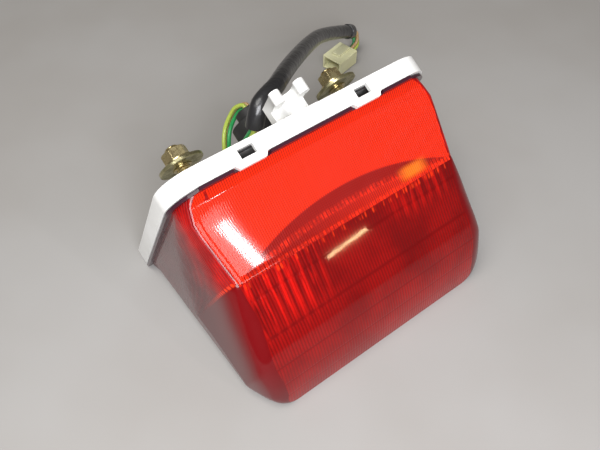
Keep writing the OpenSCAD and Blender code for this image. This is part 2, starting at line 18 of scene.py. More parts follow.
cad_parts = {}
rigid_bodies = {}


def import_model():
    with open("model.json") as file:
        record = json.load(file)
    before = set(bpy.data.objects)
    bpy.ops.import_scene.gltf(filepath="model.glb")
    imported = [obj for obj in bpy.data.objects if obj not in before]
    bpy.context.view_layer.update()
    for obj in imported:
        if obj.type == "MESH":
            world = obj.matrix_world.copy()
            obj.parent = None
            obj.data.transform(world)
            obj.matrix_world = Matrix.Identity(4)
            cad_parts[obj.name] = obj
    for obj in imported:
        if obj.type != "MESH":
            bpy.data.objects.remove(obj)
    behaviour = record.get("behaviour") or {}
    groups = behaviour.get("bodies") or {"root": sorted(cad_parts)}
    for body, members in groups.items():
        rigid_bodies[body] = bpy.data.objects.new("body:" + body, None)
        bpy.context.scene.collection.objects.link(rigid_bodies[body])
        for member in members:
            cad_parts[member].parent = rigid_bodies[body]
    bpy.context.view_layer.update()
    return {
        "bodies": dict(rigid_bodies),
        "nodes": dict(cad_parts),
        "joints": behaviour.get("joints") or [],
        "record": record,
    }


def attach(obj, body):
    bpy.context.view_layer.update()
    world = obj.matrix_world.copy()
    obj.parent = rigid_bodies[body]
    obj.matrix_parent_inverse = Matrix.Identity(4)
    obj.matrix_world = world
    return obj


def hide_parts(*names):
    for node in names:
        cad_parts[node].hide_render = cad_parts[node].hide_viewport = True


log = logging.getLogger("tail_light")

Point = tuple[float, float, float]
Number = Union[int, float]

MM = 0.001
LEAN = math.radians(26.0)
BACKWARD = Vector((0.0, math.cos(LEAN), math.sin(LEAN)))

# Driving sizes, in millimetres: along the rim's plane, in front of it and behind it.
RIM_HEIGHT = 93.5
LENS_REACH = 95.0
REAR_DEPTH = 35.0
RIB_PITCH = 0.96
BULB_UP = 50.0
WIRE_EXIT = 30.0
BOOT_NECK_R = 6.0

# Level place of the rim's bottom edge, with the lamp centred between its front and the boot's end.
BOOT_REACH = WIRE_EXIT * math.cos(LEAN) - (BULB_UP - BOOT_NECK_R) * math.sin(LEAN)
SEAM_Y = round(0.5 * (LENS_REACH - BOOT_REACH), 3) * MM


# ---------------------------------------------------------------- shader maths


class Socket:
    """One value in a material's node tree, with Python's operators as Math nodes."""

    def __init__(self, maker: "NodeMaker", link: bpy.types.NodeSocket) -> None:
        """Args: maker builds the nodes; link is the output that holds the value."""
        self.maker = maker
        self.link = link

    def _math(self, operation: str, *values: Union["Socket", Number]) -> "Socket":
        """Returns the Math node of that operation on the values."""
        return self.maker.node("ShaderNodeMath", {"operation": operation}, list(values))

    def __add__(self, other: Union["Socket", Number]) -> "Socket":
        """Sum."""
        return self._math("ADD", self, other)

    __radd__ = __add__

    def __sub__(self, other: Union["Socket", Number]) -> "Socket":
        """Difference."""
        return self._math("SUBTRACT", self, other)

    def __rsub__(self, other: Number) -> "Socket":
        """Difference from a number."""
        return self._math("SUBTRACT", other, self)

    def __mul__(self, other: Union["Socket", Number]) -> "Socket":
        """Product."""
        return self._math("MULTIPLY", self, other)

    __rmul__ = __mul__

    def sine(self) -> "Socket":
        """Sine of the value in radians."""
        return self._math("SINE", self)

    def absolute(self) -> "Socket":
        """Size of the value without its sign."""
        return self._math("ABSOLUTE", self)

    def root(self) -> "Socket":
        """Square root."""
        return self._math("SQRT", self)

    def between(self, low: Number, high: Number) -> "Socket":
        """Returns 0 below low, 1 above high, and a smooth rise between them."""
        return self.maker.node(
            "ShaderNodeMapRange",
            {"interpolation_type": "SMOOTHSTEP"},
            {"Value": self, "From Min": low, "From Max": high},
        )


class NodeMaker:
    """Builds the node tree of one material."""

    def __init__(self, name: str) -> None:
        """Args: name is the material's name."""
        self.material = bpy.data.materials.new(name)
        self.material.use_nodes = True
        self.tree = self.material.node_tree
        self.tree.nodes.clear()
        self.output = self.tree.nodes.new("ShaderNodeOutputMaterial")

    def node(
        self, kind: str, settings: dict, inputs: Union[list, dict], out: Union[int, str] = 0
    ) -> Socket:
        """Adds a node.

        Args:
            kind: the node's type.
            settings: properties of the node, such as its operation, set first.
            inputs: values or sockets, by position or by name.
            out: which output is returned.

        Returns:
            The chosen output.
        """
        made = self.tree.nodes.new(kind)
        for key, value in settings.items():
            setattr(made, key, value)
        pairs = inputs.items() if isinstance(inputs, dict) else enumerate(inputs)
        for key, value in pairs:
            socket = made.inputs[key]
            if isinstance(value, Socket):
                self.tree.links.new(value.link, socket)
            else:
                socket.default_value = value
        return Socket(self, made.outputs[out])

    def place(self) -> Socket:
        """Object coordinates, in metres in the lamp's frame."""
        return self.node("ShaderNodeTexCoord", {}, {}, "Object")

    def along(self, direction: Sequence[float]) -> Socket:
        """Distance along a direction in the lamp's frame, in millimetres."""
        scaled = tuple(part / MM for part in direction)
        settings = {"operation": "DOT_PRODUCT"}
        return self.node("ShaderNodeVectorMath", settings, [self.place(), scaled], "Value")

    def noise(self, scale: float, detail: float = 3.0, rough: float = 0.5) -> Socket:
        """Noise over Object coordinates, with scale in waves per metre."""
        inputs = {"Vector": self.place(), "Scale": scale, "Detail": detail, "Roughness": rough}
        return self.node("ShaderNodeTexNoise", {}, inputs)

    def colour(
        self, factor: Socket, low: Union[Sequence[float], Socket], high: Union[Sequence[float], Socket]
    ) -> Socket:
        """Mix of two colours.

        Args:
            factor: 0 gives the low colour, 1 the high one.
            low: the first colour.
            high: the second colour.

        Returns:
            The mixed colour.
        """
        made = self.tree.nodes.new("ShaderNodeMix")
        made.data_type = "RGBA"
        self.tree.links.new(factor.link, made.inputs[0])
        for socket, value in ((made.inputs[6], low), (made.inputs[7], high)):
            if isinstance(value, Socket):
                self.tree.links.new(value.link, socket)
            else:
                socket.default_value = (*value[:3], 1.0)
        return Socket(self, made.outputs[2])

    def bump(self, height: Socket, distance: float, strength: float = 1.0) -> Socket:
        """Bump from a height, with the distance of its full range in metres."""
        inputs = {"Strength": strength, "Distance": distance, "Height": height}
        return self.node("ShaderNodeBump", {}, inputs, "Normal")

    def surface(self, **inputs: object) -> Socket:
        """Principled shader with those inputs, an underscore standing for a space."""
        named = {key.replace("_", " "): value for key, value in inputs.items()}
        for key in ("Base Color", "Specular Tint", "Coat Tint", "Emission Color"):
            if key in named and not isinstance(named[key], Socket):
                named[key] = (*named[key][:3], 1.0)
        return self.node("ShaderNodeBsdfPrincipled", {}, named, "BSDF")

    def finish(self, shader: Socket) -> bpy.types.Material:
        """Joins the shader to the output. Returns the material."""
        self.tree.links.new(shader.link, self.output.inputs["Surface"])
        return self.material


# ---------------------------------------------------------------- finishes


@dataclass(frozen=True)
class MouldedFinish:
    """Moulded plastic or rubber: a faint unevenness in colour, gloss and surface."""

    name: str
    colour: Point
    shade: Point
    roughness: float = 0.4
    grain: float = 900.0
    grain_depth: float = 0.00002
    coat: float = 0.0

    def material(self) -> bpy.types.Material:
        """Returns the finish as a material."""
        maker = NodeMaker(self.name)
        cloud = maker.noise(60.0, 4.0)
        grain = maker.noise(self.grain, 2.0)
        shader = maker.surface(
            Base_Color=maker.colour(cloud.between(0.35, 0.75), self.shade, self.colour),
            Roughness=cloud * 0.15 + (self.roughness - 0.07),
            Normal=maker.bump(grain, self.grain_depth, 0.6),
            Coat_Weight=self.coat,
            Coat_Roughness=0.08,
        )
        return maker.finish(shader)


@dataclass(frozen=True)
class MetalFinish:
    """Plated or bare metal with fine scratches and a stained film."""

    name: str
    colour: Point
    stain: Point
    roughness: float = 0.28
    stained: float = 0.5

    def material(self) -> bpy.types.Material:
        """Returns the finish as a material."""
        maker = NodeMaker(self.name)
        film = maker.noise(220.0, 5.0, 0.65).between(0.62 - 0.3 * self.stained, 0.85 - 0.3 * self.stained)
        scratch = maker.noise(2600.0, 2.0)
        shader = maker.surface(
            Base_Color=maker.colour(film, self.colour, self.stain),
            Metallic=1.0 - film * 0.25,
            Roughness=film * 0.2 + scratch * 0.12 + (self.roughness - 0.08),
            Normal=maker.bump(scratch, 0.00001, 0.5),
        )
        return maker.finish(shader)


@dataclass(frozen=True)
class GlassFinish:
    """Thin clear glass: see-through, with a glossy skin."""

    name: str
    tint: Point = (0.97, 0.985, 1.0)
    body: float = 0.12

    def material(self) -> bpy.types.Material:
        """Returns the finish as a material."""
        maker = NodeMaker(self.name)
        skin = maker.surface(Base_Color=(0.8, 0.84, 0.86), Roughness=0.04, Coat_Weight=0.3)
        clear = maker.node("ShaderNodeBsdfTransparent", {}, {"Color": (*self.tint, 1.0)}, "BSDF")
        dust = maker.noise(150.0, 3.0).between(0.4, 0.9) * 0.08 + self.body
        return maker.finish(maker.node("ShaderNodeMixShader", {}, {0: dust, 1: clear, 2: skin}))


class LensZone(Enum):
    """The faces of the lens that look different."""

    TOP = 0
    SIDE = 1
    FRONT = 2
    BEAD = 3


@dataclass(frozen=True)
class LensPlace:
    """Where a point of the lens lies, as values in rim millimetres."""

    maker: NodeMaker
    across: Socket
    forward: Socket
    up: Socket

    @classmethod
    def read(cls, maker: NodeMaker) -> "LensPlace":
        """Returns the place that a material's Object coordinates give."""
        forward = SEAM_Y * math.cos(LEAN) / MM - maker.along(BACKWARD)
        up = maker.along((0.0, -math.sin(LEAN), math.cos(LEAN))) + SEAM_Y * math.sin(LEAN) / MM
        return cls(maker, maker.along((1.0, 0.0, 0.0)), forward, up)


@dataclass(frozen=True)
class Optics:
    """What the moulding behind one place of the lens does to it: its tone, which carries painted light and
    shade, the height of its pattern, and a painted glowing patch.
    """

    shade: Socket
    height: Socket
    painted_glow: Socket


@dataclass(frozen=True)
class RedLensFinish:
    """Clear red plastic, see-through in part, over the optics that each zone has behind it; its colours
    carry painted light, shade, glints and a glowing patch.
    """

    zone: LensZone
    bright: Point
    dark: Point
    see_through: float
    tint: Point = (0.85, 0.10, 0.05)
    # Orange of the painted glowing patch: the lens is no lamp.
    painted_glow_orange: Point = (1.0, 0.2, 0.008)
    crease: float = 36.5
    arch_r: float = 119.4
    arch_centre: float = 142.8
    tooth_pitch: float = 1.76
    column_pitch: float = 1.35
    row_pitch: float = 5.0
    flute_pitch: float = 4.4
    # Centre of the painted glowing patch on the top face, across and forward.
    painted_glow_patch: tuple[float, float] = (34.0, 32.2)
    side_slope: float = 0.26

    def material(self) -> bpy.types.Material:
        """Returns the finish as a material."""
        maker = NodeMaker(f"red_lens_{self.zone.name.lower()}")
        optics = {
            LensZone.TOP: self._top,
            LensZone.SIDE: self._side,
            LensZone.FRONT: self._front,
            LensZone.BEAD: self._bead,
        }[self.zone](LensPlace.read(maker))
        red = maker.colour(optics.shade, self.dark, self.bright)
        skin = maker.surface(
            Base_Color=maker.colour(optics.painted_glow, red, self.painted_glow_orange),
            Roughness=0.35,
            Specular_IOR_Level=0.12,
            Normal=maker.bump(optics.height, 0.00025, 0.6),
            Coat_Weight=1.0,
            Coat_Roughness=0.04,
            Coat_IOR=1.36,
        )
        clear = maker.node("ShaderNodeBsdfTransparent", {}, {"Color": (*self.tint, 1.0)}, "BSDF")
        mixed = maker.node("ShaderNodeMixShader", {}, {0: self.see_through, 1: skin, 2: clear})
        return maker.finish(mixed)

    @staticmethod
    def _stripes(place: Socket, pitch: float, low: float = 0.1, high: float = 0.9) -> Socket:
        """Stripes across a place in millimetres, one bright stripe to a pitch."""
        return (place * (math.pi / pitch)).sine().absolute().between(low, high)

    @staticmethod
    def _near(place: Socket, middle: Union[Socket, Number], reach: float) -> Socket:
        """Returns 1 at the middle, falling to 0 at the reach."""
        return 1.0 - (place - middle).absolute().between(0.25 * reach, reach)

    def _top(self, at: LensPlace) -> Optics:
        """Top face: ribs painted bright with the light of the housing behind, painted shade past an arch,
        rows of teeth with painted glints, and a painted glowing patch.
        """
        rib = self._stripes(at.across, RIB_PITCH, 0.15, 0.9)
        arch = self.arch_centre - (self.arch_r**2 - at.across * at.across).root()
        # Painted shade past the arch, where the inside of the lamp lies in shadow.
        painted_shade_past_arch = (at.forward - arch).between(-0.4, 0.5)
        # Painted glints on the rows of teeth, broken up by noise.
        painted_glint_noise = at.maker.noise(420.0, 2.0).between(0.42, 0.62)
        teeth = self._stripes(at.across, self.tooth_pitch, 0.25, 0.7)
        middle_row = self._near(at.forward, (arch + (self.crease - 0.3)) * 0.5, 1.9)
        front_row = self._near(at.forward, self.crease - 0.9, 1.4)
        row = middle_row * 0.55 + front_row * 0.6
        # Painted light: ribs past the arch grow brighter towards the right.
        lit = (at.across - 2.0).between(-30.0, 30.0)
        fine = (at.forward - (arch + self.crease) * 0.5).between(0.0, 1.0) * rib * lit * 0.5
        # Painted light: the ribs before the arch are bright with the lit housing behind them.
        ribbed = (1.0 - painted_shade_past_arch) * (rib * 0.65 + 0.35)
        toothed = painted_shade_past_arch * (row * teeth * (painted_glint_noise * 0.7 + 0.3) + fine + 0.1)
        # Painted glowing patch in orange on the top face.
        painted_glow_patch = self._near(at.across, self.painted_glow_patch[0], 9.0) * self._near(at.forward, self.painted_glow_patch[1], 3.6)
        return Optics(ribbed + toothed, rib, painted_glow_patch * (rib * 0.5 + 0.5))

    def _side(self, at: LensPlace) -> Optics:
        """Side face: ribbed at the rear, smooth and dark in front, painted lighter towards its top edge,
        with a painted highlight line at the crease.
        """
        level = at.up + at.forward * self.side_slope
        rib = self._stripes(level, RIB_PITCH, 0.0, 1.0)
        rear = 1.0 - (at.forward - REAR_DEPTH).between(-0.2, 0.2)
        # Painted light: the side grows lighter towards its top edge.
        edge = level.between(52.0, 89.0)
        streak = at.maker.noise(110.0, 4.0).between(0.4, 0.7)
        # Painted highlight line along the crease, also put into the glowing colour.
        line = self._near(at.forward, REAR_DEPTH - 0.4, 1.1) * self._stripes(at.up, 1.6) * edge
        shade = rear * (edge * edge * 0.6 + 0.07) * (rib * 0.5 + 0.5) * (streak * 0.5 + 0.5)
        shade = shade + line * 0.6 + (1.0 - rear) * (edge * 0.1 + 0.03)
        return Optics(shade, rib * rear, line * 0.15)

    def _front(self, at: LensPlace) -> Optics:
        """Front face: fine columns, with broad flutes at the upper corners, a painted reflection of the
        floor towards the foot, and painted glints along the crease.
        """
        columns = self._stripes(at.across, self.column_pitch, 0.1, 1.0)
        rows = self._stripes(at.up + at.forward * 0.2, self.row_pitch, 0.0, 0.25)
        stretched = [at.across * 0.55, at.forward * 0.06, at.up * 0.05]
        place = at.maker.node("ShaderNodeCombineXYZ", {}, stretched)
        streaks = at.maker.node("ShaderNodeTexNoise", {}, {"Vector": place, "Scale": 1.0, "Detail": 3.0})
        flutes = self._stripes(at.across, self.flute_pitch, 0.2, 1.0) * streaks.between(0.38, 0.62)
        left = (0.0 - at.across).between(14.0, 26.0) * (1.0 - at.forward.between(48.0, 64.0))
        right = at.across.between(14.0, 24.0) * (1.0 - at.across.between(44.0, 50.0))
        right = right * (1.0 - at.forward.between(43.0, 50.0))
        # Painted reflection of the floor: the front grows lighter towards its foot.
        low = at.forward.between(62.0, 92.0)
        cloud = at.maker.noise(45.0, 4.0).between(0.35, 0.65)
        block = columns * rows
        shade = block * (cloud * 0.10 + 0.05) + flutes * (left * 0.5 + right * 0.3)
        shade = shade + low * 0.16 + cloud * 0.05
        teeth = self._stripes(at.across, self.tooth_pitch)
        # Painted glints on the teeth along the crease, also put into the glowing colour.
        painted_crease_glints = self._near(at.forward, self.crease + 1.1, 1.5) * teeth * streaks.between(0.5, 0.6)
        return Optics(shade + painted_crease_glints * 0.5, block + flutes * (left + right), painted_crease_glints * 0.12)

    def _bead(self, at: LensPlace) -> Optics:
        """Smooth bead next to the white skirt."""
        cloud = at.maker.noise(40.0, 3.0)
        return Optics(cloud * 0.2, cloud * 0.1, cloud * 0.0)


# ---------------------------------------------------------------- shape helpers


def rim_place(across: float, back: float, up: float) -> Vector:
    """Point given in millimetres by the rim plane: across it, behind it and up it."""
    y = back * math.cos(LEAN) - up * math.sin(LEAN)
    z = back * math.sin(LEAN) + up * math.cos(LEAN)
    return Vector((across * MM, SEAM_Y + y * MM, z * MM))


def from_rim(point: Point) -> Vector:
    """Point given in millimetres, level and upright from the rim's bottom edge."""
    return Vector(point) * MM + Vector((0.0, SEAM_Y, 0.0))


def add_object(name: str, mesh: bpy.types.Mesh) -> bpy.types.Object:
    """Links a mesh into the scene as an object at the origin. Returns the object."""
    made = bpy.data.objects.new(name, mesh)
    bpy.context.scene.collection.objects.link(made)
    return made


def finished(
    name: str, shape: bmesh.types.BMesh, material: bpy.types.Material, sharp: float = 35.0
) -> bpy.types.Object:
    """Turns a bmesh into a dressed object.

    Args:
        name: the piece's name.
        shape: the bmesh, which is freed.
        material: its finish.
        sharp: the angle in degrees above which an edge stays sharp.

    Returns:
        The object.
    """
    bmesh.ops.recalc_face_normals(shape, faces=shape.faces)
    for face in shape.faces:
        face.smooth = True
    for edge in shape.edges:
        if len(edge.link_faces) == 2:
            edge.smooth = edge.calc_face_angle(0.0) < math.radians(sharp)
    mesh = bpy.data.meshes.new(name)
    shape.to_mesh(mesh)
    shape.free()
    mesh.materials.append(material)
    return add_object(name, mesh)


def softened(
    frame: dict, node: str, name: str, material: bpy.types.Material, width: float, segments: int = 2
) -> bpy.types.Object:
    """Copies a CAD node with its sharp edges rounded, and stands it in for the node.

    Args:
        frame: the loaded frame.
        node: the CAD node.
        name: the new piece's name.
        material: its finish.
        width: the width of the rounding, in metres.
        segments: how many facets the rounding has.

    Returns:
        The new piece.
    """
    shape = bmesh.new()
    shape.from_mesh(frame["nodes"][node].data)
    bmesh.ops.remove_doubles(shape, verts=shape.verts, dist=0.000005)
    bmesh.ops.dissolve_limit(shape, angle_limit=math.radians(0.6), verts=shape.verts, edges=shape.edges)
    made = finished(name, shape, material)
    rounding = made.modifiers.new("rounding", "BEVEL")
    rounding.width = width
    rounding.segments = segments
    rounding.limit_method = "ANGLE"
    rounding.angle_limit = math.radians(40.0)
    rounding.harden_normals = True
    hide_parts(node)
    return made


def smooth_route(route: Sequence[Vector], steps: int) -> list[Vector]:
    """Catmull-Rom curve through a route's points.

    Args:
        route: the points that it passes.
        steps: how many pieces each stretch between two points is made of.

    Returns:
        The curve's points.
    """
    last = len(route) - 1
    points = []
    for index in range(last):
        before, here = route[max(index - 1, 0)], route[index]
        ahead, after = route[index + 1], route[min(index + 2, last)]
        for step in range(steps):
            t = step / steps
            points.append(0.5 * (
                2 * here + (ahead - before) * t + (2 * before - 5 * here + 4 * ahead - after) * t * t
                + (3 * here - before - 3 * ahead + after) * t * t * t
            ))
    return points + [route[last]]


# ---------------------------------------------------------------- lens


def plane_through(a: Vector, b: Vector, c: Vector) -> tuple[Vector, float]:
    """Plane through three points, as its normal with positive X and its distance."""
    normal = (b - a).cross(c - a).normalized()
    normal = normal if normal.x > 0 else -normal
    return normal, normal.dot(a)


@dataclass
class Lens:
    """The red lens: ribbed rear body, smooth front, an even wall and a band inside the skirt."""

    rim_height: float = RIM_HEIGHT
    band_inset: float = 2.3
    half_bottom: float = 64.7
    half_top: float = 62.0
    corner_r: float = 14.0
    shoulder: float = 5.0
    neck: tuple[float, float] = (4.5, 5.0)
    crease: tuple[float, float] = (36.5, 13.7)
    front_r: float = 57.0
    reach: float = LENS_REACH
    foot_half: float = 61.5
    foot_back: float = 77.0
    foot_front_half: float = 54.5
    side_point: Point = (60.1, REAR_DEPTH, 35.4)
    lower_r: float = 9.0
    crease_half_rear: float = 58.8
    crease_half_front: float = 53.2
    bead: tuple[float, float] = (0.2, 1.45)
    bead_inset: float = 0.4
    tab: tuple[float, float] = (27.0, 8.0)
    tab_depth: float = 1.9
    wall: float = 2.2
    top_ribs: int = 59
    side_ribs: int = 64
    rib_height: float = 0.06
    crest_steps: int = 8
    front_steps: int = 44

    def __post_init__(self) -> None:
        """Works out the planes of the sides, in rim millimetres: across, forward and up."""
        crease_rear = Vector((self.crease_half_rear, 0.0, self.rim_height - self.band_inset))
        crease_front = Vector((self.crease_half_front, REAR_DEPTH, self.rim_height - self.crease[1]))
        side = Vector(self.side_point)
        foot_side = self.from_table(self.foot_half, -self.foot_back, 0.0)
        foot_front = self.from_table(self.foot_front_half, -self.reach, 0.0)
        over_foot = self.from_table(self.foot_front_half, -self.reach, 40.0)
        self.rear_plane = plane_through(crease_rear, crease_front, side)
        self.front_plane = plane_through(crease_front, side, foot_side)
        self.corner_plane = plane_through(foot_side, foot_front, over_foot)

    @staticmethod
    def from_table(across: float, level: float, high: float) -> Vector:
        """Rim millimetres (across, forward, up) of a point given level and upright from the rim's foot."""
        forward = -(level * math.cos(LEAN) + high * math.sin(LEAN))
        return Vector((across, forward, -level * math.sin(LEAN) + high * math.cos(LEAN)))

    @staticmethod
    def to_table(forward: float, up: float) -> tuple[float, float]:
        """Level and upright millimetres of a point in the centre plane."""
        level = -forward * math.cos(LEAN) - up * math.sin(LEAN)
        return level, -forward * math.sin(LEAN) + up * math.cos(LEAN)

    def foot_forward(self) -> float:
        """How far forward the foot of the front face is."""
        return self.from_table(0.0, -self.reach, 0.0).y

    def top(self, forward: float) -> float:
        """Height up the rim of the top or front outline at a place forward of the rim."""
        neck_up = self.rim_height - self.neck[1]
        crease_up = self.rim_height - self.crease[1]
        seam_up = self.rim_height - self.band_inset
        if forward <= 0:
            return seam_up
        if forward <= self.neck[0]:
            return seam_up + (neck_up - seam_up) * forward / self.neck[0]
        if forward <= self.crease[0]:
            share = (forward - self.neck[0]) / (self.crease[0] - self.neck[0])
            return neck_up + (crease_up - neck_up) * share
        return self.front_up(forward)

    def front_up(self, forward: float) -> float:
        """Height up the rim of the front face: a straight stretch, then an arc to the foot.

        Args:
            forward: the place forward of the rim, beyond the crease.

        Returns:
            The height, in millimetres up the rim.
        """
        centre = (self.front_r - self.reach, 0.0)
        level, high = self.to_table(self.crease[0], self.rim_height - self.crease[1])
        gap = (level - centre[0], high - centre[1])
        angle = math.atan2(gap[1], -gap[0]) - math.acos(self.front_r / math.hypot(*gap))
        touch = (centre[0] - self.front_r * math.cos(angle), centre[1] + self.front_r * math.sin(angle))
        start = self.from_table(0.0, level, high)
        end = self.from_table(0.0, *touch)
        if forward <= end.y:
            return start.z + (end.z - start.z) * (forward - start.y) / (end.y - start.y)
        middle = self.from_table(0.0, *centre)
        reach = self.front_r**2 - (forward - middle.y) ** 2
        return middle.z + math.sqrt(max(reach, 0.0))

    def bottom(self, forward: float) -> float:
        """Height up the rim of the underside."""
        return max(self.band_inset, forward * math.tan(LEAN))

    def half_width(self, forward: float, up: float) -> float:
        """Half width of the lens at a place, before its lower edges are rounded."""
        lean = (self.half_bottom - self.half_top) / (self.rim_height - self.corner_r)
        width = self.half_bottom - lean * up - self.band_inset
        radius = self.corner_r - self.band_inset
        over = up - (self.rim_height - self.band_inset - radius)
        if over > 0:
            width -= radius - math.sqrt(max(radius**2 - over**2, 0.0))
        side = self.rear_plane if forward < REAR_DEPTH else self.front_plane
        for normal, distance in (side, self.corner_plane):
            width = min(width, (distance - normal.y * forward - normal.z * up) / normal.x)
        return width

    def crest_r(self, forward: float, height: float) -> float:
        """Radius of the edge between the top or front face and the sides."""
        share = min(max((forward - self.crease[0]) / 14.0, 0.0), 1.0)
        return min(0.9 + 3.1 * share, 0.45 * height)

    def is_bead(self, forward: float, inset: float) -> bool:
        """Whether a section lies in the bead that stands out next to the skirt."""
        return inset == 0 and self.bead[0] <= forward <= self.bead[1]

    def swell(self, forward: float, drop: float) -> float:
        """How far a side stands out beyond its flat planes, at a drop below its top edge."""
        share = min(max((forward - 4.0) / 26.0, 0.0), 1.0)
        share *= 1.0 - 0.45 * min(max((forward - 45.0) / 35.0, 0.0), 1.0)
        return self.shoulder * share * (1.0 - math.exp(-drop / 5.0)) * math.exp(-drop / 42.0)

    def outline(self, forward: float, inset: float) -> list[tuple[float, float, LensZone]]:
        """Half outline of one section, from the middle of the underside to the middle of the top.

        Args:
            forward: the section's place forward of the rim.
            inset: how far inside the outer face it runs; the inner face has no ribs.

        Returns:
            Across, up and zone of each point.
        """
        bead = self.is_bead(forward, inset)
        grow = self.band_inset - self.bead_inset if bead else 0.0
        low = self.bottom(forward) + inset
        high = max(self.top(forward) - inset, low + 0.02)
        if bead:
            high = self.rim_height - self.bead_inset
        ribs = self.rib_height if self.bead[1] < forward <= REAR_DEPTH and inset == 0 else 0.0
        crest_r = self.corner_r - self.bead_inset if bead else self.crest_r(forward, high - low)
        side = self.side_points(forward, inset, low, high, crest_r, ribs, grow)
        steps = self.crest_steps
        under = [(side[0][0] * index / steps, low, LensZone.SIDE) for index in range(steps)]
        edge = side[-1][0]
        zone = LensZone.TOP if forward <= self.crease[0] else LensZone.FRONT
        top = []
        for index in range(1, 2 * self.top_ribs + 1):
            across = edge * (1.0 - index / (2 * self.top_ribs))
            under_tab = bead and abs(across - self.tab[0]) < self.tab[1]
            wave = ribs * (index % 2) if index > 3 else 0.0
            top.append((across, high - (self.tab_depth if under_tab else 0.0) + wave, zone))
        return under + side + top

    def side_points(
        self, forward: float, inset: float, low: float, high: float, crest_r: float, ribs: float, grow: float
    ) -> list[tuple[float, float, LensZone]]:
        """Side of one section, from its lower edge up to its crest.

        Args:
            forward: the section's place forward of the rim.
            inset: how far inside the outer face it runs.
            low: height of its lower edge.
            high: height of its top.
            crest_r: radius of its crest.
            ribs: height of the ribs on it.
            grow: how far the bead stands out on it.

        Returns:
            Across, up and zone of each point.
        """
        count = 2 * self.side_ribs
        crest = count - self.crest_steps
        bead = self.is_bead(forward, inset)
        points = []
        for index in range(count + 1):
            up = low + (high - low) * index / count
            if index > crest:
                share = (index - crest) / self.crest_steps
                before = low + (high - low) * crest / count
                rise = high - crest_r + crest_r * math.sin(0.5 * math.pi * share)
                up = max(rise, before + (high - before) * share / 2)
            width = self.half_width(forward, min(up, high - 0.01)) - inset + grow
            width += self.swell(forward, high - up)
            width = min(width, self.foot_half + 0.6 - inset) if forward > 3.0 else width
            drop = self.lower_r - inset - (up - low) * math.cos(LEAN)
            if drop > 0 and forward > self.bead[1]:
                radius = self.lower_r - inset
                width -= radius - math.sqrt(max(radius**2 - drop**2, 0.0))
            over = crest_r - (high - up)
            if over > 0 and not bead:
                width -= crest_r - math.sqrt(max(crest_r**2 - over**2, 0.0))
            wave = ribs * (index % 2) if 6 < index < crest else 0.0
            points.append((width + wave, up, LensZone.SIDE))
        return points

    def sections(self) -> list[float]:
        """Places of the sections, close together where the outline bends."""
        foot = self.foot_forward()
        start, end = self.bead
        crease = self.crease[0]
        bead = [start - 0.01, start, start + 0.25, end - 0.25, end, end + 0.01]
        neck = [1.9, 2.8, 3.9, self.neck[0], 5.2, 6.2]
        body = [10.0, 15.0, 20.0, 25.0, 30.0, 33.0]
        turn = [REAR_DEPTH - 0.1, REAR_DEPTH + 0.05, crease - 0.8, crease, crease + 0.8]
        arc = foot - turn[-1]
        front = [
            turn[-1] + arc * math.sin(0.5 * math.pi * step / self.front_steps)
            for step in range(1, self.front_steps + 1)
        ]
        return [0.0, *bead, *neck, *body, *turn, *front]

    def skin(self, shape: bmesh.types.BMesh, inset: float) -> None:
        """Adds one face of the wall, made from a grid that is bent into place.

        Args:
            shape: the bmesh that it goes into.
            inset: how far inside the outer face it runs.
        """
        foot = self.foot_forward() - inset / math.cos(LEAN)
        sections = [min(place, foot) for place in self.sections()]
        columns = len(self.outline(0.0, inset))
        rows = len(sections)
        grid = bmesh.ops.create_grid(shape, x_segments=columns - 1, y_segments=rows - 1, size=1.0)
        verts = sorted(grid["verts"], key=lambda vert: (round(vert.co.y, 5), round(vert.co.x, 5)))
        for row, forward in enumerate(sections):
            for column, (across, up, _) in enumerate(self.outline(forward, inset)):
                verts[row * columns + column].co = rim_place(across, -forward, up)
        faces = list({face for vert in verts for face in vert.link_faces})
        numbers = {vert: number for number, vert in enumerate(verts)}
        for face in faces:
            first = min(numbers[vert] for vert in face.verts)
            row, column = divmod(first, columns)
            middle = (sections[row] + sections[row + 1]) / 2
            zone = self.outline(middle, inset)[column + 1][2]
            if inset == 0 and self.bead[0] - 0.02 < middle < self.bead[1] + 0.02:
                zone = LensZone.BEAD
            face.material_index = zone.value
        edges = list({edge for face in faces for edge in face.edges})
        bmesh.ops.mirror(shape, geom=verts + faces + edges, axis="X", merge_dist=0.0)

    def band(self, shape: bmesh.types.BMesh) -> None:
        """Closes the rear: joins the outer and the inner skin round the band that sits in the skirt."""
        bmesh.ops.remove_doubles(shape, verts=shape.verts, dist=0.00001)
        rims = [edge for edge in shape.edges if edge.is_boundary]
        bmesh.ops.bridge_loops(shape, edges=rims)

    def build(self) -> bpy.types.Object:
        """Makes the lens. Returns the piece, riding on the lamp's body."""
        shape = bmesh.new()
        self.skin(shape, 0.0)
        self.skin(shape, self.wall)
        self.band(shape)
        # The bright and dark reds of each face are partly the plastic's own and partly painted light and
        # shade: the lit white housing seen through the top, shade behind the side and front.
        finishes = [
            RedLensFinish(LensZone.TOP, (1.0, 0.026, 0.002), (0.2, 0.0, 0.0), 0.12),
            RedLensFinish(LensZone.SIDE, (0.85, 0.008, 0.003), (0.075, 0.0, 0.003), 0.1),
            RedLensFinish(LensZone.FRONT, (0.95, 0.008, 0.003), (0.14, 0.0, 0.001), 0.1),
            RedLensFinish(LensZone.BEAD, (0.16, 0.03, 0.05), (0.035, 0.012, 0.022), 0.1),
        ]
        materials = [finish.material() for finish in finishes]
        made = finished("lens_body", shape, materials[0], sharp=28.0)
        for material in materials[1:]:
            made.data.materials.append(material)
        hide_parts("lens")
        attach(made, "lamp")
        return made


# ---------------------------------------------------------------- housing and hardware


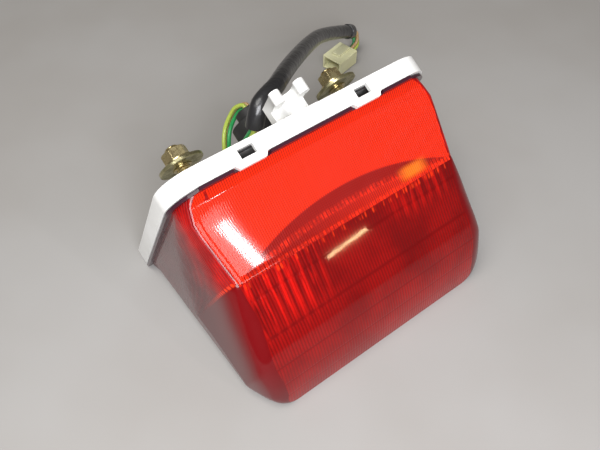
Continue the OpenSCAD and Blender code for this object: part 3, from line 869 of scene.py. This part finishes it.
@dataclass
class Housing:
    """White moulded rim with its fork, and the gasket behind the lens."""

    rounding: float = 0.55 * MM

    def build(self, frame: dict) -> bpy.types.Object:
        """Makes the housing. Returns the piece."""
        white = MouldedFinish(
            "white_plastic", (0.93, 0.93, 0.915), (0.86, 0.86, 0.84), 0.38, 700.0, 0.00003, 0.15
        )
        made = softened(frame, "housing", "housing_moulding", white.material(), self.rounding, 3)
        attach(made, "lamp")
        grey = MouldedFinish("grey_rubber", (0.1, 0.1, 0.1), (0.06, 0.06, 0.06), 0.7)
        dress(frame, ["lens_gasket"], grey.material())
        return made


@dataclass
class StudBolt:
    """Stud bolt with a rolled thread, in rim millimetres."""

    across: float
    up: float = 56.0
    hex_r: float = 5.77
    turn_steps: int = 28
    head_back: float = 5.6
    head_height: float = 3.6
    thread_start: float = 9.0
    end: float = 28.2
    radius: float = 3.0
    depth: float = 0.3
    pitch: float = 1.0

    def profile(self) -> list[tuple[float, float]]:
        """Radius and depth behind the rim of the shank's outline, from the head to the tip."""
        points = [(0.0, self.head_back - 0.2), (self.radius - 0.05, self.head_back - 0.2),
                  (self.radius - 0.05, self.thread_start)]
        place = self.thread_start
        while place < self.end - self.pitch:
            points += [
                (self.radius - self.depth, place + 0.25 * self.pitch),
                (self.radius, place + 0.6 * self.pitch),
                (self.radius, place + 0.75 * self.pitch),
            ]
            place += self.pitch
        return points + [(self.radius - 0.5, self.end), (0.0, self.end)]

    def build(self, shape: bmesh.types.BMesh) -> None:
        """Adds the bolt to a bmesh: a shank spun from its outline, and a six-sided head."""
        axis = rim_place(self.across, 0.0, self.up)
        outline = [
            shape.verts.new(axis + BACKWARD * back * MM + Vector((radius * MM, 0.0, 0.0)))
            for radius, back in self.profile()
        ]
        edges = [shape.edges.new(pair) for pair in zip(outline, outline[1:])]
        bmesh.ops.spin(
            shape, geom=outline + edges, cent=axis, axis=BACKWARD, angle=2 * math.pi,
            steps=self.turn_steps, use_merge=True,
        )
        bmesh.ops.remove_doubles(shape, verts=shape.verts, dist=0.000005)
        turned = Matrix.Rotation(LEAN - math.pi / 2, 4, "X")
        middle = axis + BACKWARD * (self.head_back - self.head_height / 2) * MM
        head = bmesh.ops.create_cone(
            shape, cap_ends=True, segments=6, radius1=self.hex_r * MM, radius2=self.hex_r * MM,
            depth=self.head_height * MM, matrix=Matrix.Translation(middle) @ turned,
        )
        rim = [edge for edge in shape.edges if all(vert in head["verts"] for vert in edge.verts)]
        bmesh.ops.bevel(
            shape, geom=rim, offset=0.3 * MM, segments=2, profile=0.5, affect="EDGES", material=-1
        )


@dataclass
class Hardware:
    """The studs, their flange nuts and the large captive washers."""

    spacing: float = 80.0
    sides: tuple[str, str] = ("left", "right")

    def build(self, frame: dict) -> list[bpy.types.Object]:
        """Makes the hardware. Returns its pieces."""
        zinc = MetalFinish("yellow_zinc", (0.72, 0.60, 0.33), (0.34, 0.30, 0.16), 0.26, 0.55).material()
        olive = MetalFinish("olive_zinc", (0.50, 0.46, 0.27), (0.26, 0.24, 0.13), 0.3, 0.7).material()
        shape = bmesh.new()
        for sign in (-1, 1):
            bolt = bmesh.new()
            StudBolt(sign * self.spacing / 2).build(bolt)
            mesh = bpy.data.meshes.new("bolt")
            bolt.to_mesh(mesh)
            bolt.free()
            shape.from_mesh(mesh)
            bpy.data.meshes.remove(mesh)
        bolts = finished("threaded_studs", shape, zinc)
        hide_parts("stud_bolts")
        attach(bolts, "lamp")
        made = [bolts]
        for side in self.sides:
            nut = softened(frame, f"nut_{side}", f"flange_nut_{side}", zinc, 0.25 * MM)
            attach(nut, f"nut_{side}")
            washer = softened(frame, f"washer_{side}", f"large_washer_{side}", olive, 0.4 * MM, 3)
            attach(washer, f"washer_{side}")
            made += [nut, washer]
        return made


def dress(frame: dict, nodes: Iterable[str], material: bpy.types.Material) -> None:
    """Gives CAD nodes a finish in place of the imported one."""
    for node in nodes:
        kept = frame["nodes"][node]
        kept.data.materials.clear()
        kept.data.materials.append(material)


@dataclass
class Light:
    """Bulb and socket, which keep their CAD shapes."""

    def build(self, frame: dict) -> None:
        """Dresses the bulb and the socket."""
        looks = (
            (MetalFinish("cap_brass", (0.78, 0.62, 0.34), (0.45, 0.34, 0.17), 0.25, 0.3), ["bulb_cap"]),
            (MetalFinish("plated_shell", (0.72, 0.72, 0.70), (0.42, 0.40, 0.36), 0.25, 0.35),
             ["socket_shell", "socket_ring"]),
            (MetalFinish("bright_contact", (0.85, 0.68, 0.38), (0.6, 0.45, 0.22), 0.2, 0.2),
             ["carrier_contacts"]),
            (MetalFinish("solder", (0.7, 0.71, 0.72), (0.45, 0.46, 0.48), 0.35, 0.4),
             ["bulb_cap_contacts"]),
            (MetalFinish("drawn_wire", (0.5, 0.5, 0.52), (0.3, 0.3, 0.32), 0.3, 0.3),
             ["filament_supports", "filament_tail", "filament_stop"]),
            (MetalFinish("spring_wire", (0.8, 0.8, 0.8), (0.5, 0.48, 0.44), 0.2, 0.2), ["carrier_spring"]),
            (GlassFinish("clear_glass"), ["bulb_glass", "bulb_stem"]),
            (MouldedFinish("black_insulator", (0.03, 0.03, 0.035), (0.015, 0.015, 0.02), 0.2),
             ["bulb_cap_insulator"]),
            (MouldedFinish("brown_board", (0.24, 0.13, 0.065), (0.16, 0.08, 0.04), 0.6),
             ["contact_carrier"]),
        )
        for finish, nodes in looks:
            dress(frame, nodes, finish.material())
        rubber = MouldedFinish("black_rubber", (0.035, 0.035, 0.035), (0.02, 0.02, 0.02), 0.6).material()
        boot = softened(frame, "socket_boot", "rubber_boot", rubber, 0.6 * MM, 3)
        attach(boot, "lamp")


# ---------------------------------------------------------------- harness


@dataclass
class Harness:
    """Three wires from the boot, through a black sleeve, to a connector."""

    sleeve_route: tuple[Point, ...] = (
        (-10.5, -17.2, 71), (-5.5, -14.7, 79), (5.6, -9.7, 79), (19, 2.3, 72),
        (42.5, 22.8, 58), (70, 44.8, 41), (93, 57.8, 26), (106.5, 63.3, 17.5),
    )
    inner_route: tuple[Point, ...] = ((-2.5, 10, 56), (-8, 10, 47), (-14, 1, 43), (-15.5, -9, 50))
    outer_route: tuple[Point, ...] = ((114.5, 65.1, 11.3), (113, 61.8, 7.5))
    connector_end: Point = (106, 60.3, 4.8)
    connector_turn: float = 13.0
    sleeve_diameter: float = 7.6
    tape_length: float = 5.0
    wire_diameter: float = 1.9
    strand_radius: float = 1.35
    least_cord: float = 0.03

    def sleeve_path(self) -> list[Vector]:
        """Centreline of the sleeve, in metres."""
        return smooth_route([from_rim(point) for point in self.sleeve_route], 2)

    @staticmethod
    def lead(
        start: Vector, out: Vector, route: Sequence[Point], end: Vector, into: Vector, steps: int
    ) -> list[Vector]:
        """Line of a wire between two ends.

        Args:
            start: where it begins.
            out: the direction in which it leaves.
            route: the points that it passes, from the rim's bottom edge.
            end: where it stops.
            into: the direction in which it arrives.
            steps: how many pieces each stretch is made of.

        Returns:
            The line's points.
        """
        middle = [from_rim(point) for point in route]
        return [start] + smooth_route([start + 2 * MM * out, *middle, end - 2 * MM * into], steps) + [end]

    def strand(self, path: Sequence[Vector], index: int, up: Vector) -> list[Vector]:
        """One of three strands that run side by side along a path.

        Args:
            path: the line that they run along.
            index: which strand, from 0.
            up: a direction that the path never takes.

        Returns:
            The strand's points.
        """
        turn = math.radians(120 * index)
        points = []
        for place, here in enumerate(path):
            ahead = (path[min(place + 1, len(path) - 1)] - path[max(place - 1, 0)]).normalized()
            side = ahead.cross(up).normalized()
            aside = side * math.cos(turn) + side.cross(ahead) * math.sin(turn)
            points.append(here + self.strand_radius * MM * aside)
        return points

    @staticmethod
    def tube(
        name: str, path: Sequence[Vector], diameter: float, material: bpy.types.Material
    ) -> bpy.types.Object:
        """Round tube along a path, as a curve with closed ends.

        Args:
            name: the piece's name.
            path: its centreline.
            diameter: its diameter in metres.
            material: its finish.

        Returns:
            The piece.
        """
        curve = bpy.data.curves.new(name, "CURVE")
        curve.dimensions = "3D"
        curve.bevel_depth = diameter / 2
        curve.bevel_resolution = 5
        curve.use_fill_caps = True
        line = curve.splines.new("POLY")
        line.points.add(len(path) - 1)
        for point, place in zip(line.points, path):
            point.co = (*place, 1.0)
        line.use_smooth = True
        curve.materials.append(material)
        made = bpy.data.objects.new(name, curve)
        bpy.context.scene.collection.objects.link(made)
        return made

    @staticmethod
    def length(path: Sequence[Vector]) -> float:
        """Length of a line of points."""
        return sum((b - a).length for a, b in zip(path, path[1:]))

    def build(self, frame: dict) -> list[bpy.types.Object]:
        """Makes the harness. Returns its pieces."""
        vinyl = MouldedFinish(
            "black_vinyl", (0.022, 0.022, 0.024), (0.012, 0.012, 0.014), 0.3, 260.0, 0.0008, 0.3
        )
        tape = MouldedFinish(
            "black_tape", (0.03, 0.03, 0.032), (0.016, 0.016, 0.018), 0.28, 500.0, 0.0004, 0.4
        )
        nylon = MouldedFinish(
            "milky_nylon", (0.80, 0.79, 0.52), (0.70, 0.68, 0.40), 0.35, 500.0, 0.00004, 0.2
        )
        brass = MetalFinish("terminal_brass", (0.80, 0.64, 0.36), (0.5, 0.38, 0.2), 0.25, 0.3)
        colours = {
            "earth": MouldedFinish("green_wire", (0.03, 0.36, 0.10), (0.02, 0.26, 0.07), 0.3, coat=0.2),
            "tail": MouldedFinish("tan_wire", (0.52, 0.33, 0.16), (0.42, 0.26, 0.12), 0.3, coat=0.2),
            "stop": MouldedFinish("lime_wire", (0.50, 0.62, 0.10), (0.40, 0.50, 0.08), 0.3, coat=0.2),
        }
        sleeve_path = self.sleeve_path()
        first = (sleeve_path[1] - sleeve_path[0]).normalized()
        last = (sleeve_path[-1] - sleeve_path[-2]).normalized()
        tape_end = sleeve_path[-1] + last * self.tape_length * MM
        boot_end = rim_place(0.0, WIRE_EXIT, BULB_UP)
        turn = math.radians(self.connector_turn)
        into = -Vector((math.cos(turn), math.sin(turn), 0.0))
        inner = self.lead(boot_end, BACKWARD, self.inner_route, sleeve_path[0], first, 2)
        outer = self.lead(tape_end, last, self.outer_route, from_rim(self.connector_end), into, 3)

        drawn = smooth_route(sleeve_path, 3)
        sleeve = self.tube("harness_tube", drawn, self.sleeve_diameter * MM, vinyl.material())
        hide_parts("harness_sleeve")
        wrap = softened(frame, "sleeve_tape", "wound_tape", tape.material(), 0.5 * MM, 3)
        shell = softened(frame, "connector_housing", "connector_shell", nylon.material(), 0.35 * MM, 2)
        dress(frame, ["connector_terminals"], brass.material())
        made = [sleeve, wrap, shell]
        reference = {"inner": Vector((1.0, 0.3, -0.5)), "outer": Vector((0.0, 0.2, 1.0))}
        for index, (name, finish) in enumerate(colours.items()):
            material = finish.material()
            for stretch, path in (("inner", inner), ("outer", outer)):
                line = smooth_route(self.strand(path, index, reference[stretch]), 2)
                wire = self.tube(f"{name}_wire_{stretch}", line, self.wire_diameter * MM, material)
                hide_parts(f"wire_{name}_{stretch}")
                made.append(wire)
        for piece in made:
            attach(piece, "lamp")
        return made


# ---------------------------------------------------------------- studio


@dataclass
class Studio:
    """Camera, lamps, floor and surroundings."""

    camera_at: Point = (-0.1124, -0.1407, 0.2609)
    look: Point = (0.364, 0.488, -0.793)
    lens: float = 40.4
    floor_size: float = 6.0

    def camera(self) -> None:
        """Adds the camera."""
        data = bpy.data.cameras.new("camera")
        data.lens = self.lens
        data.sensor_width = 36.0
        data.clip_start = 0.01
        made = bpy.data.objects.new("camera", data)
        made.location = self.camera_at
        made.rotation_euler = Vector(self.look).to_track_quat("-Z", "Y").to_euler()
        bpy.context.scene.collection.objects.link(made)
        bpy.context.scene.camera = made

    def lamp(self, name: str, at: Point, towards: Point, size: tuple[float, float], power: float,
             colour: Point = (1.0, 1.0, 1.0)) -> None:
        """Adds a rectangular lamp with its long side level.

        Args:
            name: the lamp's name.
            at: where it is, in metres.
            towards: the point it shines at.
            size: its width and height in metres.
            power: its power in watts.
            colour: its colour.
        """
        data = bpy.data.lights.new(name, "AREA")
        data.shape = "RECTANGLE"
        data.size, data.size_y = size
        data.energy = power
        data.color = colour
        made = bpy.data.objects.new(name, data)
        made.location = at
        made.rotation_euler = (Vector(towards) - Vector(at)).to_track_quat("-Z", "Y").to_euler()
        bpy.context.scene.collection.objects.link(made)

    def floor(self) -> None:
        """Adds the plain pale floor."""
        shape = bmesh.new()
        bmesh.ops.create_grid(shape, x_segments=2, y_segments=2, size=self.floor_size / 2)
        maker = NodeMaker("floor_paint")
        cloud = maker.noise(9.0, 3.0)
        shader = maker.surface(
            Base_Color=maker.colour(cloud.between(0.3, 0.7), (0.34, 0.325, 0.31), (0.37, 0.36, 0.35)),
            Roughness=cloud * 0.1 + 0.45,
        )
        made = finished("floor", shape, maker.finish(shader))

    def world(self) -> None:
        """Sets the even light of the room."""
        world = bpy.data.worlds.new("room")
        world.use_nodes = True
        background = world.node_tree.nodes["Background"]
        background.inputs["Color"].default_value = (0.64, 0.60, 0.54, 1.0)
        background.inputs["Strength"].default_value = 0.26
        bpy.context.scene.world = world

    def build(self) -> None:
        """Sets up the whole studio."""
        scene = bpy.context.scene
        scene.view_settings.view_transform = "Standard"
        self.camera()
        self.floor()
        self.world()
        top_corner = (-0.04, -0.02, 0.06)
        self.lamp("overhead", (-0.35, 0.0, 0.95), (0.0, 0.0, 0.03), (0.6, 0.6), 6.5, (1.0, 0.985, 0.95))
        self.lamp("near_side", (-0.22, -0.40, 0.42), (-0.02, -0.15, 0.0), (0.3, 0.3), 4.2, (0.95, 0.96, 1.0))
        self.lamp("tube", (0.62, -1.41, 0.307), (0.0, -0.03, 0.05), (0.13, 0.0025), 0.2, (1.0, 0.70, 0.36))
        self.lamp("window", (0.36, -1.14, 1.0), top_corner, (0.11, 0.26), 0.7, (1.0, 0.92, 0.9))
        self.lamp("window_bar", (0.345, -1.03, 0.93), top_corner, (0.03, 0.14), 0.8, (0.97, 0.95, 1.0))


def main() -> None:
    """Builds the tail light and reports each piece."""
    logging.basicConfig(level=logging.INFO, format="%(message)s")
    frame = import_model()
    Studio().build()
    log.info("studio")
    harness = Harness().build(frame)
    log.info("harness: %s", ", ".join(piece.name for piece in harness))
    log.info("lens: %s", Lens().build().name)
    log.info("housing: %s", Housing().build(frame).name)
    log.info("hardware: %s", ", ".join(piece.name for piece in Hardware().build(frame)))
    Light().build(frame)
    log.info("bulb and socket")


if __name__ == "__main__":
    main()
